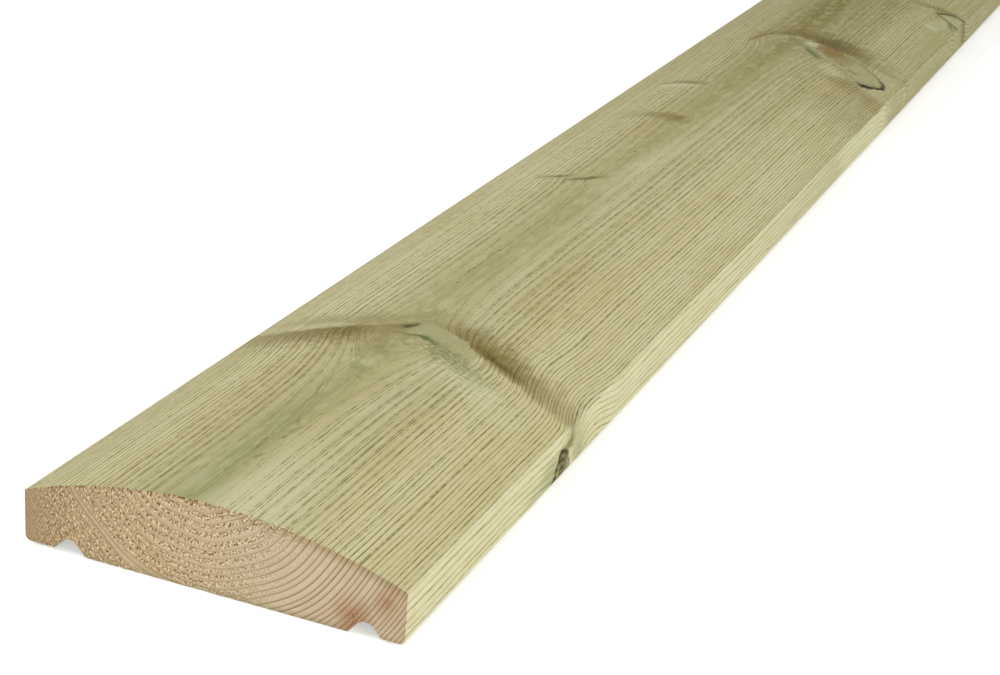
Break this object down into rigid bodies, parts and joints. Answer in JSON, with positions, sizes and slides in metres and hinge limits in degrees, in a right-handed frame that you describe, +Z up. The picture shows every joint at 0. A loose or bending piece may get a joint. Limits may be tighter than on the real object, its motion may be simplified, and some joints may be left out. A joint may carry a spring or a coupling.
{
  "type": "balcony railing board",
  "caption": "Long planed softwood capping board with a crowned top, square sides and a drip groove along each side of its flat underside; caps a balcony rail.",
  "frame": {"origin": "middle of the length and width, on the plane of the bearing flat of the underside", "axes": "+X along the board, +Y across it, +Z up out of the crown"},
  "size_m": [3, 0.145, 0.033],
  "materials": {
    "treated_pine": "planed, pressure-treated pale green pine, matte"
  },
  "bodies": {
    "root": {"railing_board": "treated_pine"}
  },
  "joints": []
}
